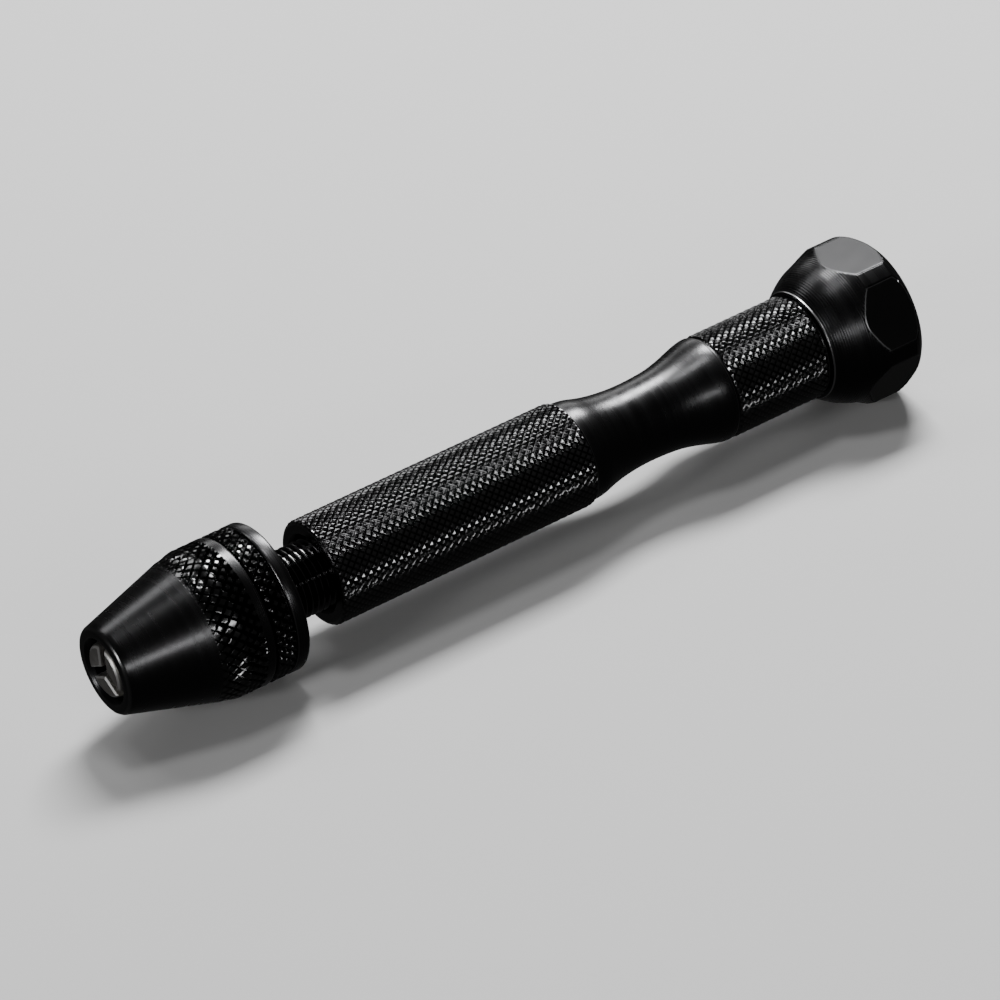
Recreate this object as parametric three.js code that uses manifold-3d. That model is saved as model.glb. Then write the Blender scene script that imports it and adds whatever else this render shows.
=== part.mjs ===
// Hand drill (pin vise) with a keyless chuck, a knurled handle and a swivelling hexagonal cap.
// Millimetres, +Z up. The drill lies along +X with its nose at -X, level on its chuck and cap.

import * as THREE from 'three';
import { mergeVertices } from 'three/addons/utils/BufferGeometryUtils.js';
import Module from 'manifold-3d';

// Overall
const totalLength = 102.0;
const chuckRadius = 8.5;
const axisHeight = 8.5;
const capAcrossFlats = 17.0;
const capCornerRadius = 9.3;

// Stations along the drill, measured from the nose face
const sleeveRearStation = 16.05;
const coreFlangeStation = 16.4;
const coreRearStation = 20.3;
const handleFrontStation = 26.2;
const waistStartStation = 59.7;
const waistEndStation = 78.3;
const handleRearStation = 90.8;
const capFrontStation = 91.2;
const bearingMiddleStation = 94.6;

// Chuck
const noseRadius = 5.0;
const coneSlope = 0.25;
const jawNoseRadius = 2.95;
const sleeveConeNoseRadius = 3.3;
const jawLength = 9.2;
const jawSlot = 0.8;
const jawBoreRadius = 1.7;
const jawCount = 3;
const firstJawAngle = 32;
const springStation = 6.6;
const springOffset = 3.15;
const springPocketRadius = 0.68;
const springPocketDepth = 1.2;
const springLength = 2.6;
const springCoilRadius = 0.34;
const springWireRadius = 0.08;
const springTurns = 4;
const studRadius = 4.0;
const studFrontStation = 14.6;
const studRearStation = 36.2;
const threadGap = 0.3;

// Handle
const handleRadius = 6.1;
const waistRadius = 4.55;

// Swivel bearing
const racePitchRadius = 4.0;
const ballRadius = 0.8;
const raceGrooveRadius = 1.05;
const raceHalfWidth = 2.0;
const ballCount = 7;
const journalRadius = 2.2;

// Smoothness of the turned pieces
const coarseSegments = 36;
const fineSegments = 24;

const wasm = await Module();
wasm.setup();

const drill = new THREE.Group();
drill.name = 'hand_drill';

const blackAnodised = new THREE.MeshStandardMaterial({ color: 0x141416, roughness: 0.38, metalness: 0.9 });
const blackSteel = new THREE.MeshStandardMaterial({ color: 0x1b1b1d, roughness: 0.32, metalness: 0.95 });
const jawSteel = new THREE.MeshStandardMaterial({ color: 0x55524c, roughness: 0.3, metalness: 1.0 });
const bearingSteel = new THREE.MeshStandardMaterial({ color: 0x9a9ca0, roughness: 0.18, metalness: 1.0 });
const springSteel = new THREE.MeshStandardMaterial({ color: 0x8d8f92, roughness: 0.28, metalness: 1.0 });

function alongDrill(station) {
  return station - totalLength / 2;
}

// Merges a geometry's vertices, drops its collapsed triangles and turns its faces outwards.
function closedBody(source) {
  const bare = source.clone();
  bare.deleteAttribute('normal');
  bare.deleteAttribute('uv');
  const merged = mergeVertices(bare, 1e-5);
  const position = merged.getAttribute('position');
  const index = merged.getIndex().array;
  const kept = [];
  let volume = 0;
  const a = new THREE.Vector3();
  const b = new THREE.Vector3();
  const c = new THREE.Vector3();
  for (let i = 0; i < index.length; i += 3) {
    const [i0, i1, i2] = [index[i], index[i + 1], index[i + 2]];
    if (i0 === i1 || i1 === i2 || i2 === i0) continue;
    kept.push(i0, i1, i2);
    a.fromBufferAttribute(position, i0);
    b.fromBufferAttribute(position, i1);
    c.fromBufferAttribute(position, i2);
    volume += a.dot(b.cross(c)) / 6;
  }
  if (volume < 0) {
    for (let i = 0; i < kept.length; i += 3) {
      const held = kept[i];
      kept[i] = kept[i + 1];
      kept[i + 1] = held;
    }
  }
  merged.setIndex(kept);
  return merged;
}

function toSolid(geometry) {
  const closed = closedBody(geometry);
  const vertProperties = new Float32Array(closed.getAttribute('position').array);
  const triVerts = new Uint32Array(closed.getIndex().array);
  return new wasm.Manifold(new wasm.Mesh({ numProp: 3, vertProperties, triVerts }));
}

function toGeometry(solid) {
  const mesh = solid.getMesh();
  const geometry = new THREE.BufferGeometry();
  const position = new Float32Array(mesh.numVert * 3);
  for (let i = 0; i < mesh.numVert; i++) {
    position[3 * i] = mesh.vertProperties[mesh.numProp * i];
    position[3 * i + 1] = mesh.vertProperties[mesh.numProp * i + 1];
    position[3 * i + 2] = mesh.vertProperties[mesh.numProp * i + 2];
  }
  geometry.setAttribute('position', new THREE.BufferAttribute(position, 3));
  geometry.setIndex(new THREE.BufferAttribute(new Uint32Array(mesh.triVerts), 1));
  geometry.computeVertexNormals();
  return geometry;
}

// A turned shape about the drill's axis. Each profile point is [station, radius].
function turned(profile, segments) {
  const points = profile.map(([station, radius]) => new THREE.Vector2(radius, alongDrill(station)));
  const geometry = new THREE.LatheGeometry(points, segments);
  geometry.rotateZ(-Math.PI / 2);
  return closedBody(geometry);
}

// A turned ring, whose profile is closed on itself.
function turnedRing(profile, segments) {
  return turned([...profile, profile[0]], segments);
}

function addPiece(name, geometry, material) {
  const ready = geometry.clone();
  ready.computeVertexNormals();
  const mesh = new THREE.Mesh(ready, material);
  mesh.name = name;
  mesh.position.set(0, 0, axisHeight);
  drill.add(mesh);
  return mesh;
}

// Handle: one turned body with two knurled lands, a waist, a socket for the stud and a journal.
const handleProfile = [
  [36.6, 0],
  [36.6, studRadius + threadGap],
  [handleFrontStation + 0.4, studRadius + threadGap],
  [handleFrontStation, studRadius + threadGap + 0.4],
  [handleFrontStation, handleRadius - 0.45],
  [handleFrontStation + 0.45, handleRadius],
  [waistStartStation, handleRadius],
  [61.4, 5.72],
  [63.0, 5.15],
  [64.6, 4.84],
  [66.6, 4.62],
  [68.4, waistRadius],
  [70.4, 4.6],
  [72.4, 4.77],
  [74.2, 5.12],
  [75.6, 5.5],
  [76.9, 5.86],
  [waistEndStation, 6.05],
  [78.6, 5.85],
  [78.9, handleRadius],
  [handleRearStation - 0.35, handleRadius],
  [handleRearStation, handleRadius - 0.3],
  [handleRearStation, 3.15],
  [92.3, 3.15],
  [92.3, journalRadius],
  [96.3, journalRadius],
  [96.6, journalRadius - 0.25],
  [96.6, 1.5],
  [89.8, 1.5],
  [89.8, 0],
];
addPiece('handle_body', turned(handleProfile, coarseSegments), blackAnodised);

// Threaded stud between the handle and the chuck.
const studProfile = [
  [studFrontStation, 0],
  [studFrontStation, studRadius - 0.5],
  [studFrontStation + 0.5, studRadius],
  [studRearStation - 0.5, studRadius],
  [studRearStation, studRadius - 0.5],
  [studRearStation, 0],
];
addPiece('chuck_stud', turned(studProfile, fineSegments), blackSteel);

// Chuck core: threaded front collar, neck, knurled rear flange, and a socket for the stud.
const coreProfile = [
  [10.2, jawBoreRadius],
  [10.2, 5.8],
  [10.4, 6.0],
  [11.3, 6.0],
  [11.5, 5.8],
  [11.5, 5.3],
  [coreFlangeStation, 5.3],
  [coreFlangeStation, chuckRadius - 0.15],
  [coreFlangeStation + 0.15, chuckRadius],
  [coreRearStation - 0.3, chuckRadius],
  [coreRearStation, chuckRadius - 0.3],
  [coreRearStation, studRadius + threadGap + 0.4],
  [coreRearStation - 0.4, studRadius + threadGap],
  [11.2, studRadius + threadGap],
  [11.2, jawBoreRadius],
];
addPiece('chuck_core', turnedRing(coreProfile, coarseSegments), blackSteel);

// Hardened disc that the jaws bear on.
const discProfile = [
  [9.5, jawBoreRadius],
  [9.5, 5.2],
  [9.9, 5.2],
  [9.9, jawBoreRadius],
];
addPiece('thrust_disc', turnedRing(discProfile, fineSegments), bearingSteel);

// Nose sleeve: a cone outside, a cone inside that closes the jaws, and a thread behind it.
const sleeveProfile = [
  [0, sleeveConeNoseRadius + 0.55],
  [0, noseRadius - 0.35],
  [0.12, noseRadius - 0.1],
  [0.4, noseRadius + 0.07],
  [9.5, 7.72],
  [11.4, 8.24],
  [12.4, 8.44],
  [13.2, chuckRadius],
  [sleeveRearStation - 0.15, chuckRadius],
  [sleeveRearStation, chuckRadius - 0.15],
  [sleeveRearStation, 6.3],
  [15.8, 6.3],
  [15.8, 6.9],
  [14.9, 6.9],
  [14.9, 6.3],
  [9.9, 6.3],
  [9.9, sleeveConeNoseRadius + coneSlope * 9.9],
  [0.6, sleeveConeNoseRadius + coneSlope * 0.6],
];
addPiece('nose_sleeve', turnedRing(sleeveProfile, coarseSegments), blackSteel);

// Ring in the sleeve's groove that stops it leaving the core.
const stopRingProfile = [
  [15.2, 5.65],
  [15.2, 6.6],
  [15.5, 6.6],
  [15.5, 5.65],
];
addPiece('sleeve_stop_ring', turnedRing(stopRingProfile, fineSegments), springSteel);

// Jaws: three sectors of one tapered plug, with pockets for the springs between them.
const jawPlugProfile = [
  [0, 0],
  [0, jawNoseRadius - 0.2],
  [0.25, jawNoseRadius + coneSlope * 0.25],
  [jawLength, jawNoseRadius + coneSlope * jawLength],
  [jawLength, jawBoreRadius],
  [5.0, jawBoreRadius],
  [4.2, 0],
];
const jawPlug = toSolid(turned(jawPlugProfile, 30));

function jawWedge(angle) {
  const apex = jawSlot / 2 / Math.sin(Math.PI / jawCount);
  const reach = 14;
  const half = Math.PI / jawCount;
  const outline = new THREE.Shape();
  outline.moveTo(apex, 0);
  outline.lineTo(apex + reach * Math.cos(half), -reach * Math.sin(half));
  outline.lineTo(apex + 2 * reach, 0);
  outline.lineTo(apex + reach * Math.cos(half), reach * Math.sin(half));
  outline.closePath();
  const geometry = new THREE.ExtrudeGeometry(outline, { depth: jawLength + 4, bevelEnabled: false });
  // The extrusion runs along Z, and turns to run along X with the outline's X pointing to +Y.
  geometry.rotateY(Math.PI / 2);
  geometry.rotateX(Math.PI / 2);
  geometry.rotateX(angle);
  geometry.translate(alongDrill(-2), 0, 0);
  return toSolid(geometry);
}

// The frame of the spring that lies across the slot between two jaws.
function springFrame(slotAngle) {
  const outward = new THREE.Vector3(0, Math.cos(slotAngle), Math.sin(slotAngle));
  const across = new THREE.Vector3(0, -Math.sin(slotAngle), Math.cos(slotAngle));
  const along = new THREE.Vector3(1, 0, 0);
  const centre = outward.clone().multiplyScalar(springOffset);
  centre.x = alongDrill(springStation);
  return { outward, across, along, centre };
}

function springPocket(slotAngle) {
  const { across, centre } = springFrame(slotAngle);
  const length = jawSlot + 2 * springPocketDepth;
  const geometry = new THREE.CylinderGeometry(springPocketRadius, springPocketRadius, length, 12);
  const turn = new THREE.Quaternion().setFromUnitVectors(new THREE.Vector3(0, 1, 0), across);
  geometry.applyQuaternion(turn);
  geometry.translate(centre.x, centre.y, centre.z);
  return toSolid(geometry);
}

const slotAngles = [];
for (let i = 0; i < jawCount; i++) {
  slotAngles.push(THREE.MathUtils.degToRad(firstJawAngle + 60 + 120 * i));
}
for (let i = 0; i < jawCount; i++) {
  const angle = THREE.MathUtils.degToRad(firstJawAngle + 120 * i);
  let jaw = jawPlug.intersect(jawWedge(angle));
  for (const slotAngle of slotAngles) {
    jaw = jaw.subtract(springPocket(slotAngle));
  }
  addPiece('jaw_' + (i + 1), toGeometry(jaw), jawSteel);
}

// A coil spring: a round wire swept along a helix, closed by its two flat ends.
function coilSpring({ across, outward, along, centre }) {
  const steps = springTurns * 8;
  const sides = 5;
  const position = [];
  const index = [];
  for (let i = 0; i <= steps; i++) {
    const t = i / steps;
    const turn = t * springTurns * 2 * Math.PI;
    const lift = (t - 0.5) * (springLength - 2 * springWireRadius);
    const radial = outward.clone().multiplyScalar(Math.cos(turn)).addScaledVector(along, Math.sin(turn));
    const middle = centre.clone().addScaledVector(radial, springCoilRadius).addScaledVector(across, lift);
    for (let k = 0; k < sides; k++) {
      const around = (k / sides) * 2 * Math.PI;
      const rim = middle.clone();
      rim.addScaledVector(radial, springWireRadius * Math.cos(around));
      rim.addScaledVector(across, springWireRadius * Math.sin(around));
      position.push(rim.x, rim.y, rim.z);
    }
  }
  for (let i = 0; i < steps; i++) {
    for (let k = 0; k < sides; k++) {
      const next = (k + 1) % sides;
      const p0 = i * sides + k;
      const p1 = i * sides + next;
      const p2 = (i + 1) * sides + k;
      const p3 = (i + 1) * sides + next;
      index.push(p0, p1, p2, p1, p3, p2);
    }
  }
  for (let k = 1; k < sides - 1; k++) {
    index.push(0, k + 1, k);
    index.push(steps * sides, steps * sides + k, steps * sides + k + 1);
  }
  const geometry = new THREE.BufferGeometry();
  geometry.setAttribute('position', new THREE.Float32BufferAttribute(position, 3));
  geometry.setIndex(index);
  return closedBody(geometry);
}
for (let i = 0; i < jawCount; i++) {
  addPiece('jaw_spring_' + (i + 1), coilSpring(springFrame(slotAngles[i])), springSteel);
}

// Swivel cap: a flared body, cut to a hexagon, bored for the bearing and the end plug.
const capProfile = [
  [capFrontStation, 4.85],
  [capFrontStation, 6.2],
  [capFrontStation + 0.2, 6.4],
  [92.0, 6.93],
  [93.0, 7.57],
  [94.0, 8.07],
  [95.0, 8.42],
  [95.7, 8.66],
  [96.3, 8.97],
  [96.9, capCornerRadius],
  [100.4, capCornerRadius],
  [101.0, 9.0],
  [101.6, 8.5],
  [totalLength, 8.0],
  [totalLength, 6.7],
  [100.3, 6.7],
  [100.3, 5.8],
  [92.0, 5.8],
  [92.0, 4.85],
];

function hexagonPrism(acrossFlats) {
  const outline = new THREE.Shape();
  const cornerRadius = acrossFlats / 2 / Math.cos(Math.PI / 6);
  for (let k = 0; k < 6; k++) {
    const angle = (k * Math.PI) / 3;
    const y = cornerRadius * Math.cos(angle);
    const z = cornerRadius * Math.sin(angle);
    if (k === 0) outline.moveTo(y, z);
    else outline.lineTo(y, z);
  }
  outline.closePath();
  const geometry = new THREE.ExtrudeGeometry(outline, { depth: 20, bevelEnabled: false });
  geometry.rotateY(Math.PI / 2);
  geometry.rotateX(Math.PI / 2);
  geometry.translate(alongDrill(86), 0, 0);
  return toSolid(geometry);
}
const capSolid = toSolid(turnedRing(capProfile, 36)).intersect(hexagonPrism(capAcrossFlats));
addPiece('swivel_cap', toGeometry(capSolid), blackAnodised);

// Swivel bearing: two grooved races, a ring of balls and their cage.
function grooveArc(side, steps) {
  // side is +1 for the outer race's groove and -1 for the inner race's groove.
  const land = side > 0 ? 0.7 : 0.7;
  const halfAngle = Math.acos(land / raceGrooveRadius);
  const points = [];
  for (let i = 0; i <= steps; i++) {
    const angle = -halfAngle + (2 * halfAngle * i) / steps;
    const station = bearingMiddleStation + raceGrooveRadius * Math.sin(angle);
    const radius = racePitchRadius + side * raceGrooveRadius * Math.cos(angle);
    points.push([station, radius]);
  }
  return points;
}
const raceFront = bearingMiddleStation - raceHalfWidth;
const raceRear = bearingMiddleStation + raceHalfWidth;
const outerRaceProfile = [[raceFront, 5.5], [raceFront, 4.7], ...grooveArc(1, 4), [raceRear, 4.7], [raceRear, 5.5]];
const innerRaceProfile = [[raceFront, 2.5], [raceFront, 3.3], ...grooveArc(-1, 4), [raceRear, 3.3], [raceRear, 2.5]];
addPiece('bearing_outer_race', turnedRing(outerRaceProfile, 28), bearingSteel);
addPiece('bearing_inner_race', turnedRing(innerRaceProfile, 24), bearingSteel);

function ballCentre(i) {
  const angle = (i * 2 * Math.PI) / ballCount;
  const y = racePitchRadius * Math.cos(angle);
  const z = racePitchRadius * Math.sin(angle);
  return new THREE.Vector3(alongDrill(bearingMiddleStation), y, z);
}

const cageProfile = [
  [bearingMiddleStation - 0.5, 3.62],
  [bearingMiddleStation - 0.5, 4.38],
  [bearingMiddleStation + 1.6, 4.38],
  [bearingMiddleStation + 1.6, 3.62],
];
let cage = toSolid(turnedRing(cageProfile, 24));
for (let i = 0; i < ballCount; i++) {
  const centre = ballCentre(i);
  const ball = new THREE.SphereGeometry(ballRadius, 10, 6);
  ball.translate(centre.x, centre.y, centre.z);
  addPiece('bearing_ball_' + (i + 1), closedBody(ball), bearingSteel);
  const pocket = new THREE.SphereGeometry(ballRadius + 0.33, 10, 6);
  pocket.translate(centre.x, centre.y, centre.z);
  cage = cage.subtract(toSolid(pocket));
}
addPiece('ball_cage', toGeometry(cage), springSteel);

// Washer and socket-head screw that hold the inner race on the journal.
const washerProfile = [
  [96.9, 1.5],
  [96.9, 3.4],
  [97.5, 3.4],
  [97.5, 1.5],
];
addPiece('cap_washer', turnedRing(washerProfile, 24), springSteel);

const screwProfile = [
  [90.2, 0],
  [90.2, 0.9],
  [90.5, 1.2],
  [97.8, 1.2],
  [97.8, 2.6],
  [99.6, 2.6],
  [99.8, 2.4],
  [99.8, 0],
];
function socketPrism(acrossFlats) {
  const geometry = new THREE.CylinderGeometry(acrossFlats / Math.sqrt(3), acrossFlats / Math.sqrt(3), 2.4, 6);
  geometry.rotateZ(Math.PI / 2);
  geometry.translate(alongDrill(98.7) + 1.2, 0, 0);
  return toSolid(geometry);
}
const screwSolid = toSolid(turned(screwProfile, 24)).subtract(socketPrism(2.0));
addPiece('cap_screw', toGeometry(screwSolid), blackSteel);

// Disc that closes the cap's rear bore.
const plugProfile = [
  [100.6, 0],
  [100.6, 6.4],
  [101.5, 6.4],
  [101.7, 6.2],
  [101.7, 0],
];
addPiece('cap_end_plug', turned(plugProfile, 40), blackAnodised);

export default drill;
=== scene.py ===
"""A hand drill with a keyless chuck, a knurled handle and a swivelling hexagonal cap.

The drill lies along +X with its nose at -X. Shapes are given in millimetres, as stations
from the nose face and radii from the drill's own axis.
"""

import math

import bmesh
import bpy
import numpy as np
from mathutils import Matrix, Vector


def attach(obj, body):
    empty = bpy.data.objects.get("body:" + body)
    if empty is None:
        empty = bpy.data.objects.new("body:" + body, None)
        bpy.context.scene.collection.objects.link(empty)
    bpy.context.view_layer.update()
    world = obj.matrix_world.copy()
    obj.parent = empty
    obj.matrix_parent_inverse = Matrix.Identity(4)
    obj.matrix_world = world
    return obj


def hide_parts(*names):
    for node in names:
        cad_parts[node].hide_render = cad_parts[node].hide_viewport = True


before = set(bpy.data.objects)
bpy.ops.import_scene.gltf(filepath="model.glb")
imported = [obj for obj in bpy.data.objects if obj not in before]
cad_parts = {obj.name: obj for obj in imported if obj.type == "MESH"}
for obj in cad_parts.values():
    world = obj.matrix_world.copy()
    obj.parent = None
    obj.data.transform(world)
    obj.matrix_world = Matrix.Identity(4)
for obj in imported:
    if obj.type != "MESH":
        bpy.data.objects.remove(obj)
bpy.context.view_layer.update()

MM = 0.001
TURN = 2 * math.pi

# ---------------------------------------------------------------- sizes in millimetres
TOTAL_LENGTH = 102.0
AXIS_HEIGHT = 8.5
NEAR_AXIS = 0.02

# The flank of a knurl's groove: places from its bottom, 0, to its top, 1, and the share of the
# full depth that is cut at each.
STRAIGHT_FLANK = ((0.0, 1.0), (1.0, 0.0))
BROKEN_FLANK = ((0.0, 1 / 3, 1.0), (1.0, 0.52, 0.0))

CHUCK_RADIUS = 8.5
CHUCK_KNURL_PITCH = 1.34
CHUCK_KNURL_COUNT = 42
CHUCK_KNURL_DEPTH = 0.42
CHUCK_SAMPLES = 12
CHUCK_STEP = CHUCK_KNURL_PITCH / CHUCK_SAMPLES
FLANGE_FRONT = 16.4
FLANGE_KNURL = (16.44, 18.62)
FLANGE_GROOVE_SHARE = 0.6
FLANGE_EDGE_START = 16.6
FLANGE_EDGE_SLOPE = 1.2

# Along the nose sleeve, each as stations and values: the outline before it is knurled, the depth of
# the grooves as a share of the full depth, and the share of each diamond that its flanks take.
SLEEVE_OUTLINE = (
    (0.4, 9.5, 10.6, 11.5, 12.0, 12.4, 12.7, 20.0),
    (5.07, 7.72, 8.05, 8.2, 8.36, 8.46, 8.5, 8.5),
)
SLEEVE_KNURL_DEPTHS = (
    (9.7, 10.7, 11.2, 12.3, 12.6, 13.0, 14.85, 15.0),
    (0.0, 0.8, 0.9, 0.6, 0.6, 1.0, 1.0, 0.0),
)
SLEEVE_KNURL_SHARES = ((9.8, 11.9, 13.0, 15.0), (0.42, 0.42, 0.6, 0.6))
SLEEVE_FINE_ROWS = (9.55, 15.9)
SLEEVE_KNURLED = (9.9, 15.0)
SHALLOWEST_GROOVE = 0.1

HANDLE_RADIUS = 6.1
HANDLE_KNURL_PITCH = 0.972
HANDLE_KNURL_COUNT = 42
HANDLE_KNURL_DEPTH = 0.18
HANDLE_SAMPLES = 6
LONG_LAND = (26.3, 59.5)
SHORT_LAND = (78.7, 90.82)
LAND_END_DROP = 0.3
LAND_END_SLOPE = 1.1
LAND_END_GAP = 0.03
WAIST = (
    (59.65, 5.76), (61.2, 5.62), (63.0, 5.15), (64.6, 4.84), (66.6, 4.62), (68.4, 4.55), (70.4, 4.6),
    (72.4, 4.77), (74.2, 5.12), (75.6, 5.5), (76.9, 5.86), (77.7, 6.02), (78.2, 6.06),
)

STUD_FRONT = 14.6
STUD_REAR = 36.2
STUD_RADIUS = 4.0
STUD_PITCH = 0.75
STUD_SAMPLES_AROUND = 72
STUD_ROWS_PER_TURN = 12
THREAD_START = 14.7
THREAD_LENGTH = 21.4
THREAD_DEPTH = 0.42
THREAD_ROOT_SHARE = 0.12
THREAD_FLANK_SHARE = 0.72
THREAD_END_SHARE = 0.875
THREAD_END_SLOPE = 0.15

CAP_APOTHEM = 8.5
CAP_CHAMFER = 0.13
CAP_CHAMFER_DROP = 0.05
CAP_SAMPLES_AROUND = 300
CAP_FLATS = 6
CAP_FLARE = (
    (91.3, 6.43), (92.0, 6.95), (93.0, 7.59), (94.0, 8.09), (95.0, 8.43), (95.7, 8.67), (96.3, 8.98),
    (96.85, 9.28),
)
CAP_REAR = ((100.4, 9.3), (101.0, 9.0), (101.6, 8.5), (101.85, 8.24))
CAP_FRONT_RIM = (91.1, 91.27)
CAP_REAR_RIM = (101.9, 101.99)

JAW_SLOT = 1.0
JAW_NOSE_RADIUS = 2.95
JAW_SLOPE = 0.25
JAW_LENGTH = 9.2
JAW_CONE_LENGTH = 9.1
JAW_BORE_RADIUS = 1.7
JAW_ANGLES = (32, 152, 272)
JAW_HALF_ANGLE = math.pi / 3
JAW_ARC_STEPS = 14

# How far a point stands out, from 0 at the bottom of a groove to 1 on a rubbed edge.
GROOVED = 0.1
SHALLOW_GROOVE = 0.3
PLAIN = 0.5
SOFT_EDGE = 0.8
REAR_EDGE = 0.85
EDGE = 0.9
SHARP_EDGE = 0.97
RUBBED = 1.0
# The flat tops of the chuck's knurl are less rubbed than the handle's points, so they count as lower.
CHUCK_TOPS = 0.75

# Places in a piece's list of materials, after its main one.
CAP_FLAT_FINISH = 1
CAP_CHAMFER_FINISH = 2
JAW_EDGE_FINISH = 1


def station(s):
    """The X coordinate, in metres, of a station measured from the nose face."""
    return (s - TOTAL_LENGTH / 2) * MM


# ---------------------------------------------------------------- meshes
def show(name, mesh, crease_angle):
    """Puts a mesh in the scene, smooth but for the edges that bend more than the crease angle."""
    mesh.shade_smooth()
    mesh.set_sharp_from_angle(angle=math.radians(crease_angle))
    thing = bpy.data.objects.new(name, mesh)
    bpy.context.scene.collection.objects.link(thing)
    return thing


def add_measure(thing, name, values):
    """Stores one number per vertex, for the materials."""
    attribute = thing.data.attributes.new(name, "FLOAT", "POINT")
    attribute.data.foreach_set("value", np.asarray(values, np.float32))


def turn_outwards(thing):
    """Makes every face of a closed body face out of it."""
    form = bmesh.new()
    form.from_mesh(thing.data)
    bmesh.ops.recalc_face_normals(form, faces=form.faces)
    if form.calc_volume(signed=True) < 0:
        bmesh.ops.reverse_faces(form, faces=form.faces)
    form.to_mesh(thing.data)
    form.free()


def turned_body(name, rows, around, crease_angle):
    """A closed body of rows of points round the axis.

    Each row is (station, radius), where the radius is one number or one per angle. The rows
    follow the section, and the last joins the first. Between uneven rows each quad is split
    along the diagonal that keeps ridges and grooves straight.
    """
    angles = np.arange(around) * TURN / around
    points = []
    for s, radius in rows:
        radii = np.broadcast_to(np.asarray(radius, float), (around,))
        points.append(np.stack([
            np.full(around, station(s)),
            radii * MM * np.cos(angles),
            radii * MM * np.sin(angles) + AXIS_HEIGHT * MM,
        ], axis=1))
    grid = np.stack(points)
    radial = np.hypot(grid[:, :, 1], grid[:, :, 2] - AXIS_HEIGHT * MM)
    round_row = np.ptp(radial, axis=1) < 1e-9
    columns = np.arange(around)
    next_columns = (columns + 1) % around
    faces = []
    for i in range(len(rows)):
        j = (i + 1) % len(rows)
        a = (i * around + columns).tolist()
        b = (i * around + next_columns).tolist()
        c = (j * around + next_columns).tolist()
        d = (j * around + columns).tolist()
        if round_row[i] and round_row[j]:
            faces.extend(zip(a, b, c, d))
            continue
        # The shorter step in radius marks the diagonal that lies along a ridge or a groove.
        step_ac = np.abs(radial[i][columns] - radial[j][next_columns])
        step_bd = np.abs(radial[i][next_columns] - radial[j][columns])
        for split_ac, p, q, r, t in zip((step_ac <= step_bd).tolist(), a, b, c, d):
            if split_ac:
                faces.append((p, q, r))
                faces.append((p, r, t))
            else:
                faces.append((p, q, t))
                faces.append((q, r, t))
    mesh = bpy.data.meshes.new(name)
    mesh.from_pydata([tuple(point) for point in grid.reshape(-1, 3)], [], faces)
    mesh.update()
    thing = show(name, mesh, crease_angle)
    turn_outwards(thing)
    return thing


class Section:
    """The rows of a turned body, with two measures that its material reads.

    Relief is how far each point stands out, and knurled is 1 on cut rows and 0 on plain ones.
    """

    def __init__(self, around):
        self.around = around
        self.angles = np.arange(around) * TURN / around
        self.rows = []
        self.relief = []
        self.knurled = []

    def row(self, s, radius, relief, knurled=1.0):
        self.rows.append((s, radius))
        self.relief.append(relief)
        self.knurled.append(knurled)

    def plain(self, points, relief=PLAIN):
        for s, radius in points:
            self.row(s, radius, np.full(self.around, relief), knurled=0.0)

    def body(self, name, crease_angle):
        thing = turned_body(name, self.rows, self.around, crease_angle)
        add_measure(thing, "relief", np.concatenate(self.relief))
        add_measure(thing, "knurled", np.repeat(self.knurled, self.around))
        return thing


def resample(profile, spacing):
    """Adds points to a profile so that no step of it is longer than spacing."""
    points = [profile[0]]
    for (s0, r0), (s1, r1) in zip(profile, profile[1:]):
        parts = max(1, math.ceil(math.hypot(s1 - s0, r1 - r0) / spacing - 1e-9))
        for k in range(1, parts + 1):
            points.append((s0 + (s1 - s0) * k / parts, r0 + (r1 - r0) * k / parts))
    return points


def smooth_through(knots, spacing):
    """A smooth run of (station, radius) points through the given knots (Catmull-Rom)."""
    inner = [np.array(knot, float) for knot in knots]
    knots = [2 * inner[0] - inner[1]] + inner + [2 * inner[-1] - inner[-2]]
    points = [tuple(inner[0])]
    for k in range(1, len(knots) - 2):
        p0, p1, p2, p3 = knots[k - 1:k + 3]
        parts = max(1, math.ceil(np.linalg.norm(p2 - p1) / spacing))
        for n in range(1, parts + 1):
            t = n / parts
            points.append(tuple(0.5 * (
                2 * p1 + (p2 - p0) * t + (2 * p0 - 5 * p1 + 4 * p2 - p3) * t ** 2
                + (3 * p1 - p0 - 3 * p2 + p3) * t ** 3
            )))
    return points


def knurl_cut(s, angles, pitch, count, depth, groove_share, flank):
    """Depth of two crossing sets of grooves at one station, and the height left standing.

    groove_share is the part of the way from a groove to a diamond's middle that its flank
    takes at full depth, so 1 makes sharp pyramids and less leaves flat tops.
    """
    across = angles * count / TURN
    along = s / pitch
    first = 1 - np.abs(((along + across) % 1.0) - 0.5) * 2
    second = 1 - np.abs(((along - across) % 1.0) - 0.5) * 2
    height = np.clip(np.minimum(first, second) / groove_share, 0.0, 1.0)
    return depth * np.interp(height, *flank), height


# ---------------------------------------------------------------- handle
def knurl_land(section, s0, s1):
    """Adds the handle's knurl from s0 to s1, with its ends rolled down."""
    step = HANDLE_KNURL_PITCH / HANDLE_SAMPLES
    inner = [k * step for k in range(math.ceil(s0 / step), math.floor(s1 / step) + 1)]
    inner = [s for s in inner if s0 + LAND_END_GAP < s < s1 - LAND_END_GAP]
    for s in [s0] + inner + [s1]:
        cut, height = knurl_cut(
            s, section.angles, HANDLE_KNURL_PITCH, HANDLE_KNURL_COUNT, HANDLE_KNURL_DEPTH, 1.0, BROKEN_FLANK,
        )
        rolled = min(s - s0, s1 - s) * LAND_END_SLOPE + HANDLE_RADIUS - LAND_END_DROP
        section.row(s, np.minimum(HANDLE_RADIUS - cut, min(HANDLE_RADIUS, rolled)), height)


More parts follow.
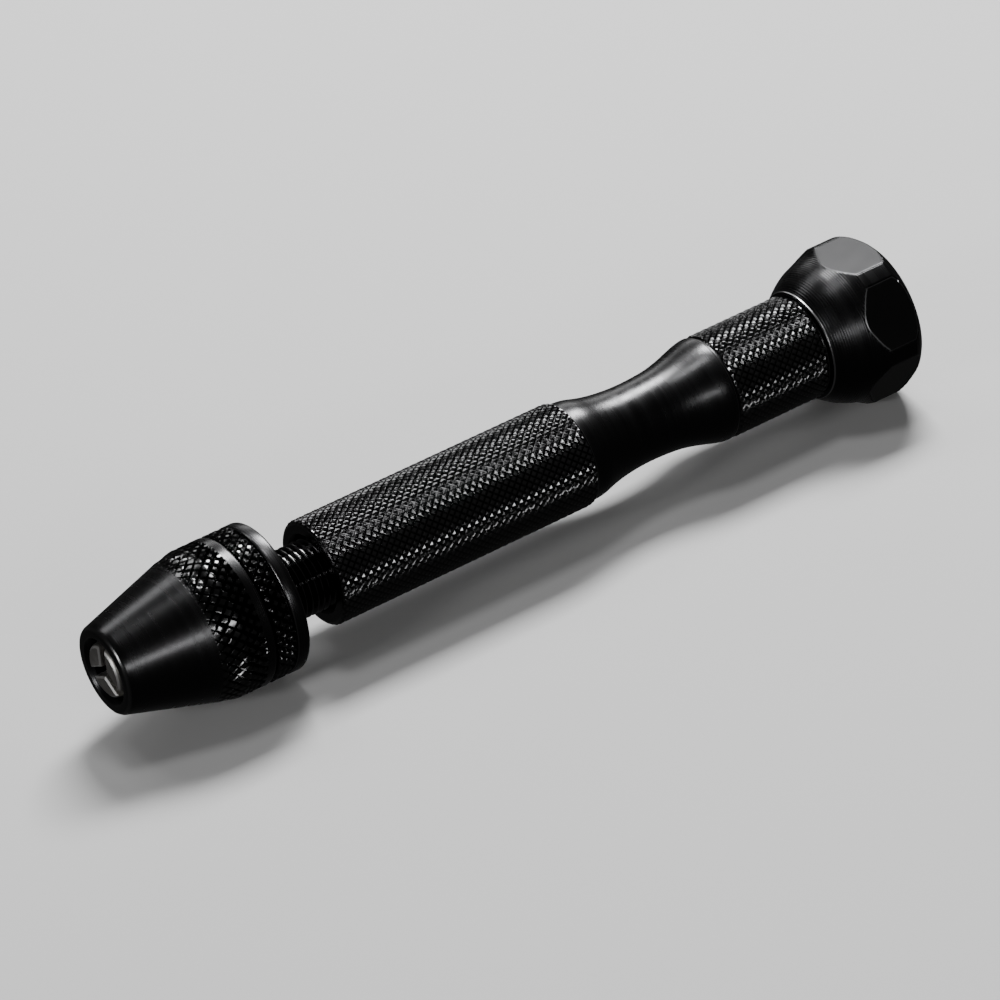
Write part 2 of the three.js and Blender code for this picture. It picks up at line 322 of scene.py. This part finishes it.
def handle():
    section = Section(HANDLE_KNURL_COUNT * HANDLE_SAMPLES)
    # The hole for the stud and the front face.
    section.plain([(36.6, NEAR_AXIS), (36.6, 4.3), (26.62, 4.3), (26.2, 4.62), (26.2, 5.58)])
    section.plain([(26.24, 5.64)], EDGE)
    knurl_land(section, *LONG_LAND)
    section.plain([(59.53, 5.78)], EDGE)
    section.plain(smooth_through(WAIST, 0.35))
    section.plain([(78.32, 6.02)], EDGE)
    section.plain([(78.42, 5.86), (78.62, 5.84)], SHALLOW_GROOVE)
    knurl_land(section, *SHORT_LAND)
    section.plain([(90.9, 5.86)], EDGE)
    # The rear face, the journal that the bearing sits on, and the hole for its screw.
    section.plain([(90.94, 5.78), (90.94, 3.15), (92.3, 3.15), (92.3, 2.2), (96.3, 2.2), (96.6, 1.95)])
    section.plain([(96.6, 1.5), (89.8, 1.5), (89.8, NEAR_AXIS)])
    return section.body("handle", crease_angle=12)


# ---------------------------------------------------------------- threaded stud
def stud():
    """A helical thread: each point's radius follows the turn of the helix."""
    section = Section(STUD_SAMPLES_AROUND)
    section.plain([(STUD_FRONT, NEAR_AXIS), (STUD_FRONT, 3.4), (THREAD_START, 3.5)])
    step = STUD_PITCH / STUD_ROWS_PER_TURN
    for k in range(1, int(THREAD_LENGTH / step)):
        s = THREAD_START + k * step
        phase = (s / STUD_PITCH - section.angles / TURN) % 1.0
        from_root = np.abs(phase - 0.5) * 2
        height = np.clip((from_root - THREAD_ROOT_SHARE) / THREAD_FLANK_SHARE, 0, 1)
        radius = STUD_RADIUS - THREAD_DEPTH * (1 - height)
        nearest_end = min(s - STUD_FRONT, STUD_REAR - s)
        limit = STUD_RADIUS * min(1.0, THREAD_END_SHARE + nearest_end * THREAD_END_SLOPE)
        section.row(s, np.minimum(radius, limit), height)
    section.plain([(36.12, 3.5), (STUD_REAR, 3.4), (STUD_REAR, NEAR_AXIS)])
    return section.body("threaded_stud", crease_angle=35)


# ---------------------------------------------------------------- chuck
def chuck_knurl(s, angles, groove_share):
    return knurl_cut(
        s, angles, CHUCK_KNURL_PITCH, CHUCK_KNURL_COUNT, CHUCK_KNURL_DEPTH, groove_share, STRAIGHT_FLANK,
    )


def nose_sleeve():
    """The cone, with a knurl that starts shallow at the cone's end and thins over its crown."""
    section = Section(CHUCK_KNURL_COUNT * CHUCK_SAMPLES)
    # The rounded rim of the nose.
    section.plain([(0.62, 3.46), (0.06, 3.8)])
    section.plain([(0.0, 3.87)], RUBBED)
    section.plain([(0.0, 3.97), (0.0, 4.62)])
    section.plain([(0.03, 4.74), (0.12, 4.88)], SHARP_EDGE)
    section.plain([(0.27, 4.99)], SOFT_EDGE)
    section.plain(resample([(0.4, 5.07), (9.4, 7.69)], 0.5))

    first, last = SLEEVE_FINE_ROWS
    for k in range(math.ceil(first / CHUCK_STEP), math.floor(last / CHUCK_STEP) + 1):
        s = k * CHUCK_STEP
        depth = CHUCK_KNURL_DEPTH * float(np.interp(s, *SLEEVE_KNURL_DEPTHS))
        cut, height = chuck_knurl(s, section.angles, float(np.interp(s, *SLEEVE_KNURL_SHARES)))
        cut = np.maximum(0.0, cut - (CHUCK_KNURL_DEPTH - depth))
        grooved = depth > SHALLOWEST_GROOVE * CHUCK_KNURL_DEPTH
        relief = CHUCK_TOPS * height if grooved else np.full(section.around, PLAIN)
        knurled = 1.0 if SLEEVE_KNURLED[0] < s < SLEEVE_KNURLED[1] else 0.0
        section.row(s, float(np.interp(s, *SLEEVE_OUTLINE)) - cut, relief, knurled)

    # The rear edge, and the hollow that the core turns in.
    section.plain([(15.93, 8.49)])
    section.plain([(16.0, 8.46), (16.05, 8.38)], EDGE)
    section.plain([(16.05, 6.3), (15.8, 6.3), (15.8, 6.9), (14.9, 6.9), (14.9, 6.3), (9.9, 6.3)])
    section.plain([(9.9, 5.775)])
    return section.body("nose_sleeve_turned", crease_angle=28)


def chuck_core():
    """The core inside the sleeve, and behind it the flange with its knurl and smooth band."""
    section = Section(CHUCK_KNURL_COUNT * CHUCK_SAMPLES)
    section.plain([(10.2, 1.7), (10.2, 5.8), (10.4, 6.0), (11.3, 6.0), (11.5, 5.8), (11.5, 5.3)])
    section.plain([(FLANGE_FRONT, 5.3), (FLANGE_FRONT, 8.02)])
    first, last = FLANGE_KNURL
    for k in range(int((last - first) / CHUCK_STEP) + 1):
        s = first + k * CHUCK_STEP
        cut, height = chuck_knurl(s, section.angles, FLANGE_GROOVE_SHARE)
        limit = CHUCK_RADIUS - max(0.0, FLANGE_EDGE_START - s) * FLANGE_EDGE_SLOPE
        section.row(s, np.minimum(CHUCK_RADIUS - cut, limit), CHUCK_TOPS * height)
    section.plain([(18.66, 8.12), (18.72, 8.12)], GROOVED)
    section.plain([(18.8, 8.4), (18.88, 8.47)], EDGE)
    section.plain([(18.95, 8.5), (20.0, 8.5)])
    section.plain([(20.14, 8.47), (20.25, 8.38), (20.3, 8.26)], REAR_EDGE)
    section.plain([(20.3, 4.7), (19.9, 4.3), (11.2, 4.3), (11.2, 1.7)])
    return section.body("chuck_core_turned", crease_angle=28)


def arc(radius, start, stop):
    """Points of an arc in the plane across the axis, as (across, up)."""
    angles = [start + (stop - start) * k / JAW_ARC_STEPS for k in range(JAW_ARC_STEPS + 1)]
    return [Vector((radius * math.cos(angle), radius * math.sin(angle))) for angle in angles]


def jaw_section(outer, inner, chamfer, eased):
    """Outer and inner arcs of a jaw, between slot faces that run parallel to its sector's sides.

    chamfer shortens the outer arc at both ends, and eased draws the slot faces back. Where there
    is no bore, the inner arc is one point, in which the slot faces meet.
    """
    half_slot = JAW_SLOT / 2 + eased
    apex = half_slot / math.sin(JAW_HALF_ANGLE)
    outer_ends = []
    inner_ends = []
    for sign in (-1, 1):
        along = Vector((math.cos(JAW_HALF_ANGLE), sign * math.sin(JAW_HALF_ANGLE)))
        offset = Vector((math.sin(JAW_HALF_ANGLE), -sign * math.cos(JAW_HALF_ANGLE))) * half_slot
        far = along * (math.sqrt(outer ** 2 - half_slot ** 2) - chamfer) + offset
        near = along * math.sqrt(max(inner ** 2 - half_slot ** 2, 0.0)) + offset
        outer_ends.append(math.atan2(far.y, far.x))
        inner_ends.append(math.atan2(near.y, near.x))
    if inner > apex:
        return arc(outer, *outer_ends), arc(inner, *inner_ends)
    tip = Vector((apex + chamfer * 0.6, 0))
    return arc(outer, *outer_ends), [tip] * (JAW_ARC_STEPS + 1)


def jaw(name, angle_degrees):
    """One sector of the tapered plug, with bevelled edges."""
    cone_rear_radius = JAW_NOSE_RADIUS + JAW_SLOPE * JAW_CONE_LENGTH
    # Station, outer radius, inner radius, chamfer, and how far the slot faces are eased back.
    rows = (
        (0.0, JAW_NOSE_RADIUS - 0.24, 0.0, 0.22, 0.16),
        (0.15, JAW_NOSE_RADIUS - 0.02, 0.0, 0.1, 0.0),
        (0.3, JAW_NOSE_RADIUS + JAW_SLOPE * 0.3, 0.0, 0.06, 0.0),
        (4.2, JAW_NOSE_RADIUS + JAW_SLOPE * 4.2, 0.0, 0.06, 0.0),
        (5.0, JAW_NOSE_RADIUS + JAW_SLOPE * 5.0, JAW_BORE_RADIUS, 0.06, 0.0),
        (JAW_CONE_LENGTH, cone_rear_radius, JAW_BORE_RADIUS, 0.06, 0.0),
        (JAW_LENGTH, cone_rear_radius - 0.08, JAW_BORE_RADIUS + 0.05, 0.14, 0.05),
    )
    cosine = math.cos(math.radians(angle_degrees))
    sine = math.sin(math.radians(angle_degrees))
    form = bmesh.new()
    loops = []
    for s, outer, inner, chamfer, eased in rows:
        outer_arc, inner_arc = jaw_section(outer, inner, chamfer, eased)
        loop = []
        for point in outer_arc + inner_arc[::-1]:
            y = point.x * cosine - point.y * sine
            z = point.x * sine + point.y * cosine
            loop.append(form.verts.new((station(s), y * MM, z * MM + AXIS_HEIGHT * MM)))
        loops.append(loop)
    for first, second in zip(loops, loops[1:]):
        for k in range(len(first)):
            n = (k + 1) % len(first)
            side = form.faces.new((first[k], first[n], second[n], second[k]))
            side.material_index = JAW_EDGE_FINISH if first is loops[0] else 0
    form.faces.new(loops[0])
    form.faces.new(list(reversed(loops[-1])))
    bmesh.ops.remove_doubles(form, verts=form.verts, dist=1e-7)
    bmesh.ops.dissolve_degenerate(form, edges=form.edges, dist=1e-8)
    bmesh.ops.recalc_face_normals(form, faces=form.faces)
    mesh = bpy.data.meshes.new(name)
    form.to_mesh(mesh)
    form.free()
    return show(name, mesh, crease_angle=25)


# ---------------------------------------------------------------- swivel cap
def cut_flat(form, angle):
    """Cuts one flat on the cap and eases its edge with a narrow chamfer."""
    outward = Vector((0, math.cos(angle), math.sin(angle)))
    centre = Vector((0, 0, AXIS_HEIGHT * MM))
    geometry = form.verts[:] + form.edges[:] + form.faces[:]
    cut = bmesh.ops.bisect_plane(
        form, geom=geometry, dist=1e-7, plane_co=centre + outward * CAP_APOTHEM * MM, plane_no=outward,
        clear_outer=True,
    )
    rim = [item for item in cut["geom_cut"] if isinstance(item, bmesh.types.BMEdge)]
    flat = bmesh.ops.contextual_create(form, geom=rim)["faces"][0]
    inset = bmesh.ops.inset_region(form, faces=[flat], thickness=CAP_CHAMFER * MM, use_even_offset=True)
    flat.smooth = False
    flat.material_index = CAP_FLAT_FINISH
    for face in inset["faces"]:
        face.material_index = CAP_CHAMFER_FINISH
    for edge in [*flat.edges, *rim]:
        edge.smooth = False
    for vert in {v for edge in rim for v in edge.verts}:
        vert.co -= outward * CAP_CHAMFER_DROP * MM


def swivel_cap():
    """The flared cap: a turned body, then six flats cut on it."""
    points = [(92.0, 4.85), (91.14, 4.85), (91.08, 4.92), (91.08, 6.26), (91.11, 6.34), (91.25, 6.37)]
    points += smooth_through(CAP_FLARE, 0.2)
    points += resample([(96.92, 9.3), (100.4, 9.3)], 0.4)[:-1]
    points += smooth_through(CAP_REAR, 0.15)
    points += [(101.96, 8.12), (102.0, 7.95), (102.0, 6.8), (101.94, 6.72), (100.3, 6.7), (100.3, 5.8)]
    points += [(92.0, 5.8)]
    section = Section(CAP_SAMPLES_AROUND)
    for s, radius in points:
        on_rim = any(low < s < high for low, high in (CAP_FRONT_RIM, CAP_REAR_RIM))
        section.plain([(s, radius)], RUBBED if on_rim else PLAIN)
    thing = section.body("swivel_cap_turned", crease_angle=24)
    form = bmesh.new()
    form.from_mesh(thing.data)
    for k in range(CAP_FLATS):
        cut_flat(form, (k + 0.5) * TURN / CAP_FLATS)
    form.to_mesh(thing.data)
    form.free()
    return thing


# ---------------------------------------------------------------- nodes
class Tree:
    """Short calls for placing and joining nodes."""

    def __init__(self, node_tree):
        self.nodes = node_tree.nodes
        self.links = node_tree.links

    def add(self, kind, **settings):
        node = self.nodes.new(kind)
        for key, value in settings.items():
            setattr(node, key, value)
        return node

    def feed(self, socket, value):
        """Sets a socket to a number or a colour, or joins another node's output to it."""
        if isinstance(value, (int, float, tuple)):
            socket.default_value = value
        else:
            self.links.new(value, socket)

    def math(self, operation, *values, clamp=False):
        node = self.add("ShaderNodeMath", operation=operation, use_clamp=clamp)
        for socket, value in zip(node.inputs, values):
            self.feed(socket, value)
        return node.outputs[0]

    def ramp(self, value, low, high):
        """0 up to low, 1 from high on, and a straight rise between them."""
        node = self.add("ShaderNodeMapRange")
        self.feed(node.inputs["Value"], value)
        self.feed(node.inputs["From Min"], low)
        self.feed(node.inputs["From Max"], high)
        return node.outputs["Result"]

    def mix_colour(self, factor, a, b):
        node = self.add("ShaderNodeMix", data_type="RGBA")
        self.feed(node.inputs["Factor"], factor)
        self.feed(node.inputs["A"], a)
        self.feed(node.inputs["B"], b)
        return node.outputs["Result"]

    def noise(self, place, scale, detail, roughness=0.5, dimensions="3D"):
        node = self.add("ShaderNodeTexNoise", noise_dimensions=dimensions)
        node.inputs["Scale"].default_value = scale
        node.inputs["Detail"].default_value = detail
        node.inputs["Roughness"].default_value = roughness
        self.feed(node.inputs["W" if dimensions == "1D" else "Vector"], place)
        return node.outputs["Fac"]

    def place(self):
        return self.add("ShaderNodeTexCoord").outputs["Object"]

    def measure(self, name):
        return self.add("ShaderNodeAttribute", attribute_name=name).outputs["Fac"]

    def bump(self, height, depth, strength=1.0, normal=None):
        """Relief of the given depth in millimetres, over another normal where one is given."""
        node = self.add("ShaderNodeBump")
        node.inputs["Strength"].default_value = strength
        node.inputs["Distance"].default_value = depth * MM
        self.feed(node.inputs["Height"], height)
        if normal is not None:
            self.feed(node.inputs["Normal"], normal)
        return node.outputs["Normal"]

    def group(self, group, **values):
        node = self.add("ShaderNodeGroup", node_tree=group)
        for key, value in values.items():
            node.inputs[key.replace("_", " ")].default_value = value
        return node.outputs


def new_group(name, inputs, outputs):
    """A shader group whose sockets are numbers, the inputs with the values they start from."""
    group = bpy.data.node_groups.new(name, "ShaderNodeTree")
    for label, value in inputs.items():
        socket = group.interface.new_socket(name=label, in_out="INPUT", socket_type="NodeSocketFloat")
        socket.default_value = value
    for label in outputs:
        group.interface.new_socket(name=label, in_out="OUTPUT", socket_type="NodeSocketFloat")
    t = Tree(group)
    return group, t, t.add("NodeGroupInput").outputs, t.add("NodeGroupOutput").inputs


# ---------------------------------------------------------------- shader groups
def make_turning_marks():
    """Fine rings left by the lathe tool: a height and a faint unevenness of finish."""
    group, t, given, result = new_group(
        "turning marks",
        {"Rings per mm": 5.0, "Regularity": 0.3, "Unevenness": 0.25},
        ("Height", "Unevenness"),
    )
    split = t.add("ShaderNodeSeparateXYZ")
    t.feed(split.inputs[0], t.place())
    millimetres = t.math("MULTIPLY", split.outputs["X"], 1000.0)
    rings = t.math("MULTIPLY", millimetres, given["Rings per mm"])
    regular = t.math("MULTIPLY", t.math("SINE", t.math("MULTIPLY", rings, TURN)), given["Regularity"])
    fine = t.noise(rings, scale=1.7, detail=2.0, dimensions="1D")
    unruly = t.math("MULTIPLY", fine, t.math("SUBTRACT", 1.0, given["Regularity"]))
    t.feed(result["Height"], t.math("ADD", regular, unruly))
    broad = t.noise(millimetres, scale=0.9, detail=3.0, dimensions="1D")
    centred = t.math("SUBTRACT", broad, 0.5)
    t.feed(result["Unevenness"], t.math("MULTIPLY", centred, given["Unevenness"]))
    return group


def make_handling():
    """Grain of the finish, with dust and finger marks that lie unevenly over it."""
    group, t, given, result = new_group(
        "handling", {"Grain per mm": 14.0, "Marks": 0.3}, ("Grain", "Marks"),
    )
    scaled = t.add("ShaderNodeVectorMath", operation="SCALE")
    t.feed(scaled.inputs[0], t.place())
    t.feed(scaled.inputs["Scale"], t.math("MULTIPLY", given["Grain per mm"], 1000.0))
    t.feed(result["Grain"], t.noise(scaled.outputs["Vector"], scale=1.0, detail=2.0))
    marks = t.noise(t.place(), scale=260.0, detail=5.0, roughness=0.62)
    t.feed(result["Marks"], t.math("MULTIPLY", t.math("SUBTRACT", marks, 0.5), given["Marks"]))
    return group


def make_edge_wear():
    """A mask that is high on outward edges, where a finish is rubbed thin."""
    group, t, given, result = new_group("edge wear", {"Sharpness": 0.06, "Amount": 1.0}, ("Mask",))
    nearly_flat = 0.53
    pointiness = t.add("ShaderNodeNewGeometry").outputs["Pointiness"]
    edges = t.ramp(pointiness, nearly_flat, t.math("ADD", given["Sharpness"], nearly_flat))
    patchy = t.ramp(t.noise(t.place(), scale=900.0, detail=3.0), 0.38, 0.62)
    worn = t.math("MULTIPLY", edges, patchy)
    t.feed(result["Mask"], t.math("MULTIPLY", worn, given["Amount"], clamp=True))
    return group


turning_marks = make_turning_marks()
handling = make_handling()
edge_wear = make_edge_wear()

# ---------------------------------------------------------------- materials
# Heights, from 0 to 1, between which an effect of the relief sets in.
CREST_HEIGHTS = (0.6, 1.0)
FACE_HEIGHTS = (0.02, 0.3)
GROOVE_SHADE_HEIGHTS = (0.1, 0.4)

# Painted shade: the colour that the bottoms of knurl and thread grooves are darkened towards, and how
# strongly.
GROOVE_SHADE_COLOUR = (0.008, 0.008, 0.008, 1.0)
GROOVE_SHADE_STRENGTH = 0.8
KNURL_GLOSS = 0.1
KNURL_GRAIN_LOSS = 0.8
FINISH_GRAIN_DEPTH = 0.004
FINISH_GRAIN_STRENGTH = 0.5
FINISH_TOUCH = {"Grain_per_mm": 16.0, "Marks": 0.09}
STEEL_TOUCH = {"Grain_per_mm": 20.0, "Marks": 0.3}
RING_UNEVENNESS = 0.12


def start_material(name, metallic=1.0):
    """A new material, with its tree and the inputs of its shader."""
    material = bpy.data.materials.new(name)
    material.use_nodes = True
    material.node_tree.nodes.clear()
    t = Tree(material.node_tree)
    shader = t.add("ShaderNodeBsdfPrincipled")
    output = t.add("ShaderNodeOutputMaterial")
    t.feed(output.inputs["Surface"], shader.outputs[0])
    shader.inputs["Metallic"].default_value = metallic
    return material, t, shader.inputs


def black_finish(
    name, base, worn, roughness, ring_depth, rings_per_mm, regularity=0.3,
    rubbed_edges=0.0, rubbed_crests=0.0, rubbed_faces=0.0,
):
    """Black finish on turned metal: rings, grain, finger marks, and wear on edges and crests.

    On knurls and threads the rings and most of the grain give way to a slightly glossier cut
    surface, whose colour is darkened towards the bottoms of the grooves as painted shade.
    """
    material, t, shader = start_material(name)
    rings = t.group(
        turning_marks, Rings_per_mm=rings_per_mm, Regularity=regularity, Unevenness=RING_UNEVENNESS,
    )
    touch = t.group(handling, **FINISH_TOUCH)
    edges = t.group(edge_wear, Sharpness=0.08, Amount=rubbed_edges)["Mask"]
    relief = t.measure("relief")
    knurled = t.measure("knurled")

    crests = t.math("MULTIPLY", t.ramp(relief, *CREST_HEIGHTS), rubbed_crests)
    faces = t.math("MULTIPLY", t.math("MULTIPLY", t.ramp(relief, *FACE_HEIGHTS), knurled), rubbed_faces)
    wear = t.math("MAXIMUM", t.math("MAXIMUM", edges, crests), faces)
    # Painted shade: the colour is darkened towards the bottoms of the grooves on knurled and threaded rows.
    bottoms = t.math("MULTIPLY", t.math("SUBTRACT", 1.0, t.ramp(relief, *GROOVE_SHADE_HEIGHTS)), knurled)
    painted_groove_shade = t.math("MULTIPLY", bottoms, GROOVE_SHADE_STRENGTH)
    colour = t.mix_colour(wear, base, worn)
    t.feed(shader["Base Color"], t.mix_colour(painted_groove_shade, colour, GROOVE_SHADE_COLOUR))

    uneven = t.math("ADD", rings["Unevenness"], touch["Marks"])
    rough = t.math("ADD", uneven, roughness, clamp=True)
    t.feed(shader["Roughness"], t.math("SUBTRACT", rough, t.math("MULTIPLY", knurled, KNURL_GLOSS)))

    ring_height = t.math("MULTIPLY", rings["Height"], t.math("SUBTRACT", 1.0, knurled))
    grain_left = t.math("SUBTRACT", 1.0, t.math("MULTIPLY", knurled, KNURL_GRAIN_LOSS))
    grain = t.math("MULTIPLY", touch["Grain"], grain_left)
    normal = t.bump(ring_height, ring_depth)
    t.feed(shader["Normal"], t.bump(grain, FINISH_GRAIN_DEPTH, FINISH_GRAIN_STRENGTH, normal))
    return material


def black_flat(name, colour, roughness):
    """Black finish on a milled flat, which has grain and finger marks but no rings."""
    material, t, shader = start_material(name)
    touch = t.group(handling, **FINISH_TOUCH)
    shader["Base Color"].default_value = colour
    t.feed(shader["Roughness"], t.math("ADD", touch["Marks"], roughness, clamp=True))
    t.feed(shader["Normal"], t.bump(touch["Grain"], FINISH_GRAIN_DEPTH, FINISH_GRAIN_STRENGTH))
    return material


def bare_steel(name, base, worn, roughness, rings_per_mm, grain_depth):
    """Ground or turned steel without a coating."""
    material, t, shader = start_material(name)
    rings = t.group(turning_marks, Rings_per_mm=rings_per_mm, Unevenness=RING_UNEVENNESS)
    touch = t.group(handling, **STEEL_TOUCH)
    edges = t.group(edge_wear, Sharpness=0.05, Amount=1.0)["Mask"]
    t.feed(shader["Base Color"], t.mix_colour(edges, base, worn))
    uneven = t.math("ADD", rings["Unevenness"], touch["Marks"])
    t.feed(shader["Roughness"], t.math("ADD", uneven, roughness, clamp=True))
    t.feed(shader["Normal"], t.bump(touch["Grain"], grain_depth))
    return material


black_handle = black_finish(
    "black_anodised_handle", base=(0.042, 0.042, 0.043, 1.0), worn=(0.2, 0.2, 0.204, 1.0), roughness=0.27,
    ring_depth=0.005, rings_per_mm=5.2, rubbed_crests=0.8, rubbed_faces=0.42,
)
black_chuck = black_finish(
    "black_oxide_chuck", base=(0.04, 0.04, 0.041, 1.0), worn=(0.25, 0.25, 0.252, 1.0), roughness=0.26,
    ring_depth=0.007, rings_per_mm=5.0, rubbed_crests=0.45, rubbed_faces=0.08,
)
black_stud = black_finish(
    "black_oxide_thread", base=(0.03, 0.03, 0.031, 1.0), worn=(0.2, 0.2, 0.2, 1.0), roughness=0.22,
    ring_depth=0.001, rings_per_mm=9.0, rubbed_edges=0.5, rubbed_crests=0.4,
)
black_cap = black_finish(
    "black_anodised_cap", base=(0.034, 0.034, 0.035, 1.0), worn=(0.3, 0.3, 0.304, 1.0), roughness=0.27,
    ring_depth=0.0085, rings_per_mm=4.0, regularity=0.75, rubbed_crests=1.0,
)
black_flats = black_flat("black_anodised_flats", colour=(0.045, 0.045, 0.046, 1.0), roughness=0.3)
rubbed_edge = black_flat("rubbed_flat_edges", colour=(0.13, 0.13, 0.133, 1.0), roughness=0.34)

jaw_steel = bare_steel(
    "ground_jaw_steel", base=(0.5, 0.485, 0.46, 1.0), worn=(0.75, 0.74, 0.71, 1.0), roughness=0.42,
    rings_per_mm=12.0, grain_depth=0.004,
)
jaw_edge = bare_steel(
    "bright_jaw_edges", base=(0.85, 0.84, 0.82, 1.0), worn=(0.9, 0.9, 0.88, 1.0), roughness=0.48,
    rings_per_mm=12.0, grain_depth=0.001,
)
bearing_steel = bare_steel(
    "polished_bearing_steel", base=(0.56, 0.57, 0.58, 1.0), worn=(0.7, 0.7, 0.7, 1.0), roughness=0.14,
    rings_per_mm=20.0, grain_depth=0.001,
)
spring_steel = bare_steel(
    "drawn_spring_steel", base=(0.4, 0.4, 0.41, 1.0), worn=(0.6, 0.6, 0.6, 1.0), roughness=0.28,
    rings_per_mm=16.0, grain_depth=0.003,
)


# ---------------------------------------------------------------- assembling
def put(thing, body, slot, node, *materials):
    """Gives a piece its materials and its body, in place of a CAD node."""
    for material in materials:
        thing.data.materials.append(material)
    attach(thing, body)
    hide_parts(node)


put(handle(), "handle", "black_anodised", "handle_body", black_handle)
put(stud(), "handle", "black_steel", "chuck_stud", black_stud)
put(nose_sleeve(), "nose_sleeve", "black_steel", "nose_sleeve", black_chuck)
put(chuck_core(), "chuck_core", "black_steel", "chuck_core", black_chuck)
for number, jaw_angle in enumerate(JAW_ANGLES, start=1):
    jaw_name = "jaw_" + str(number)
    ground_jaw = jaw("jaw_ground_" + str(number), jaw_angle)
    put(ground_jaw, jaw_name, "jaw_steel", jaw_name, jaw_steel, jaw_edge)
put(swivel_cap(), "swivel_cap", "black_anodised", "swivel_cap", black_cap, black_flats, rubbed_edge)

# The CAD nodes that are shown as they are, under each one's material.
kept_nodes = {
    "cap_end_plug": black_cap,
    "cap_screw": black_stud,
    "cap_washer": spring_steel,
    "ball_cage": spring_steel,
    "sleeve_stop_ring": spring_steel,
    "thrust_disc": bearing_steel,
    "bearing_outer_race": bearing_steel,
    "bearing_inner_race": bearing_steel,
}
for node_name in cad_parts:
    if node_name.startswith("bearing_ball_"):
        kept_nodes[node_name] = bearing_steel
    if node_name.startswith("jaw_spring_"):
        kept_nodes[node_name] = spring_steel
for node_name, material in kept_nodes.items():
    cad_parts[node_name].material_slots[0].material = material

# ---------------------------------------------------------------- floor, light and camera, in metres
FLOOR_REACH = 1.6
FLOOR_GAP = 0.0002
WORLD_LIGHT = 0.04

LENS_LENGTH_MM = 219.6
SENSOR_WIDTH_MM = 36.0
CAMERA_PLACE = (-0.28394, -0.46805, 0.37244)
CAMERA_ANGLES = (56.065, 5.491, -34.870)


def make_floor():
    """A pale floor that the drill throws its shadow on, and that its gloss doesn't mirror."""
    form = bmesh.new()
    bmesh.ops.create_grid(form, x_segments=2, y_segments=2, size=FLOOR_REACH)
    mesh = bpy.data.meshes.new("floor")
    form.to_mesh(mesh)
    form.free()
    floor = bpy.data.objects.new("floor", mesh)
    bpy.context.scene.collection.objects.link(floor)
    floor.location.z = -FLOOR_GAP
    material, _, shader = start_material("pale_floor", metallic=0.0)
    shader["Base Color"].default_value = (0.5, 0.5, 0.5, 1.0)
    shader["Roughness"].default_value = 0.75
    floor.data.materials.append(material)
    floor.visible_glossy = False


def area_light(name, place, length, width, radiance):
    """A flat lamp that faces the drill, with its length along the drill's axis."""
    lamp = bpy.data.lights.new(name, "AREA")
    lamp.shape = "RECTANGLE"
    lamp.size = length
    lamp.size_y = width
    lamp.energy = radiance * math.pi * length * width
    thing = bpy.data.objects.new(name, lamp)
    back = Vector(place).normalized()
    along = (Vector((1, 0, 0)) - back * back.x).normalized()
    across = back.cross(along)
    thing.matrix_world = Matrix.Translation(place) @ Matrix((along, across, back)).transposed().to_4x4()
    bpy.context.scene.collection.objects.link(thing)


def make_lights():
    world = bpy.data.worlds.new("studio")
    bpy.context.scene.world = world
    world.use_nodes = True
    background = world.node_tree.nodes["Background"]
    background.inputs["Color"].default_value = (1, 1, 1, 1)
    background.inputs["Strength"].default_value = WORLD_LIGHT
    area_light("overhead", place=(0.28, 0.264, 0.48), length=0.29, width=0.15, radiance=58.0)
    area_light("far_overhead", place=(-0.055, 0.39, 0.465), length=0.22, width=0.16, radiance=5.0)
    area_light("cap_overhead", place=(0.045, 0.06, 0.56), length=0.1, width=0.1, radiance=20.0)
    area_light("far_fill", place=(0.3, 0.54, 0.2), length=0.3, width=0.16, radiance=2.5)
    area_light("front_strip", place=(-0.12, -0.44, 0.205), length=0.26, width=0.055, radiance=12.0)
    area_light("nose_light", place=(-0.58, -0.12, 0.26), length=0.12, width=0.12, radiance=22.0)


def make_camera():
    """A long lens that looks down on the drill from beside its nose, with the nose nearest."""
    lens = bpy.data.cameras.new("camera")
    lens.sensor_width = SENSOR_WIDTH_MM
    lens.lens = LENS_LENGTH_MM
    lens.clip_start = 0.01
    lens.clip_end = 10.0
    camera = bpy.data.objects.new("camera", lens)
    camera.location = CAMERA_PLACE
    camera.rotation_euler = [math.radians(angle) for angle in CAMERA_ANGLES]
    bpy.context.scene.collection.objects.link(camera)
    bpy.context.scene.camera = camera


make_floor()
make_lights()
make_camera()
